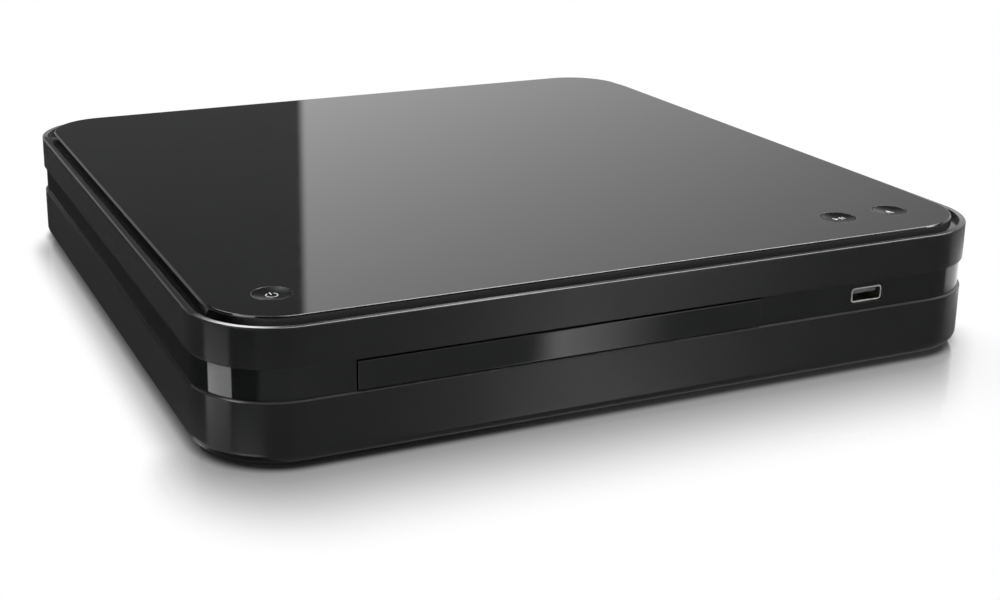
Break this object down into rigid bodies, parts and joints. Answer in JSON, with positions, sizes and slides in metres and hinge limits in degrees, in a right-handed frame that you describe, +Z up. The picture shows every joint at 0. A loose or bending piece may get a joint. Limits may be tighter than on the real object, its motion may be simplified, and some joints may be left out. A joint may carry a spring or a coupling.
{
  "type": "dvd receiver",
  "caption": "Low square disc receiver with rounded corners, recessed middle band with motor-driven disc tray and USB socket, gloss top plate with round buttons.",
  "frame": {"origin": "on the surface it stands on, under the middle of the case", "axes": "+Z up, front with the disc tray towards -Y, +X to the right seen from the front"},
  "size_m": [0.3, 0.3, 0.0491],
  "materials": {
    "casing": "black gloss moulding",
    "band": "black high gloss moulding",
    "plate": "black polished sheet",
    "button": "black gloss cap",
    "rubber": "matt black rubber",
    "panel": "black painted sheet",
    "screw": "zinc plated steel",
    "bright": "plated metal",
    "tin": "tinned sheet steel",
    "board": "green lacquered board",
    "loader": "dark grey moulding",
    "tray": "satin black moulding",
    "gear": "natural acetal",
    "socket": "black socket moulding",
    "lens": "clear moulded lens",
    "sink": "plain extruded aluminium",
    "ferrite": "taped winding and ferrite",
    "sleeve": "dark printed sleeve",
    "cable": "white flat cable"
  },
  "bodies": {
    "case": {"bottom_cover": "casing", "top_cover": "casing", "middle_band": "band", "top_plate": "plate", "foot_front_left": "rubber", "foot_front_right": "rubber", "foot_rear_left": "rubber", "foot_rear_right": "rubber", "drive_belt": "rubber", "rear_panel": "panel", "case_screws": "screw", "rear_panel_screws": "screw", "key_board_screws": "screw", "loader_screws": "screw", "board_screws": "screw", "usb_socket": "bright", "antenna_input": "bright", "antenna_output": "bright", "tuner": "tin", "clamp_bridge": "tin", "loading_motor": "tin", "digital_socket": "tin", "power_key_board": "board", "play_key_board": "board", "usb_board": "board", "main_board": "board", "power_board": "board", "loader_chassis": "loader", "tact_switches": "socket", "usb_tongue": "socket", "remote_sensor": "socket", "tv_socket": "socket", "recorder_socket": "socket", "audio_sockets": "socket", "mains_inlet": "socket", "heat_sink": "sink", "transformer": "ferrite", "capacitors": "sleeve", "flat_cable": "cable"},
    "tray": {"disc_tray": "tray", "tray_door": "band"},
    "tray_gear": {"tray_gear": "gear"},
    "pulley_gear": {"pulley_gear": "gear"},
    "motor_pulley": {"motor_pulley": "gear"},
    "lift": {"lift_frame": "loader", "grommets": "rubber", "traverse_base": "tin", "guide_rods": "bright", "spindle_motor": "tin", "sled_motor": "tin"},
    "turntable": {"turntable": "socket"},
    "pickup": {"optical_pickup": "socket", "pickup_lens": "lens"},
    "lead_screw": {"lead_screw": "bright"},
    "cam_slider": {"cam_slider": "gear"},
    "clamper": {"clamper": "loader"},
    "power_button": {"power_button": "button"},
    "play_button": {"play_button": "button"},
    "open_button": {"open_button": "button"}
  },
  "joints": [
    {"name": "tray_slide", "type": "slide", "parent": "case", "child": "tray", "axis": [0, -1, 0], "range_m": [0, 0.135]},
    {"name": "tray_gear_spin", "type": "hinge", "parent": "case", "child": "tray_gear", "pos_m": [-0.078, -0.128, 0.017], "axis": [0, 0, 1], "range_deg": [0, 967]},
    {"name": "pulley_gear_spin", "type": "hinge", "parent": "case", "child": "pulley_gear", "pos_m": [-0.0556, -0.128, 0.017], "axis": [0, 0, 1], "range_deg": [-2901, 0]},
    {"name": "motor_pulley_spin", "type": "hinge", "parent": "case", "child": "motor_pulley", "pos_m": [-0.0216, -0.128, 0.018], "axis": [0, 0, 1], "range_deg": [-10153, 0]},
    {"name": "lift_tilt", "type": "hinge", "parent": "case", "child": "lift", "pos_m": [-0.0283, 0, 0.0212], "axis": [-1, 0, 0], "range_deg": [0, 4.4]},
    {"name": "cam_slide", "type": "slide", "parent": "case", "child": "cam_slider", "axis": [-1, 0, 0], "range_m": [0, 0.016]},
    {"name": "turntable_spin", "type": "hinge", "parent": "lift", "child": "turntable", "pos_m": [-0.0283, -0.07395, 0.01772], "axis": [0, -0.0767, 0.9971], "continuous": true},
    {"name": "clamper_spin", "type": "hinge", "parent": "case", "child": "clamper", "pos_m": [-0.0283, -0.074, 0.031], "axis": [0, 0, 1], "continuous": true},
    {"name": "pickup_slide", "type": "slide", "parent": "lift", "child": "pickup", "axis": [0, 0.9971, 0.0767], "range_m": [0, 0.034]},
    {"name": "lead_screw_spin", "type": "hinge", "parent": "lift", "child": "lead_screw", "pos_m": [0.0087, -0.02973, 0.01651], "axis": [0, 0.9971, 0.0767], "range_deg": [0, 4081]},
    {"name": "power_press", "type": "slide", "parent": "case", "child": "power_button", "axis": [0, 0, -1], "range_m": [0, 0.0008], "stiffness_N_per_m": 1200},
    {"name": "play_press", "type": "slide", "parent": "case", "child": "play_button", "axis": [0, 0, -1], "range_m": [0, 0.0008], "stiffness_N_per_m": 1200},
    {"name": "open_press", "type": "slide", "parent": "case", "child": "open_button", "axis": [0, 0, -1], "range_m": [0, 0.0008], "stiffness_N_per_m": 1200}
  ],
  "couplings": [
    {"joint": "tray_gear_spin", "follows": "tray_slide", "rad_per_m": 125},
    {"joint": "pulley_gear_spin", "follows": "tray_slide", "rad_per_m": -375},
    {"joint": "motor_pulley_spin", "follows": "tray_slide", "rad_per_m": -1312.5},
    {"joint": "cam_slide", "follows": "lift_tilt", "m_per_rad": 0.2083},
    {"joint": "clamper_spin", "follows": "turntable_spin", "ratio": 1},
    {"joint": "lead_screw_spin", "follows": "pickup_slide", "rad_per_m": 2094.4}
  ]
}
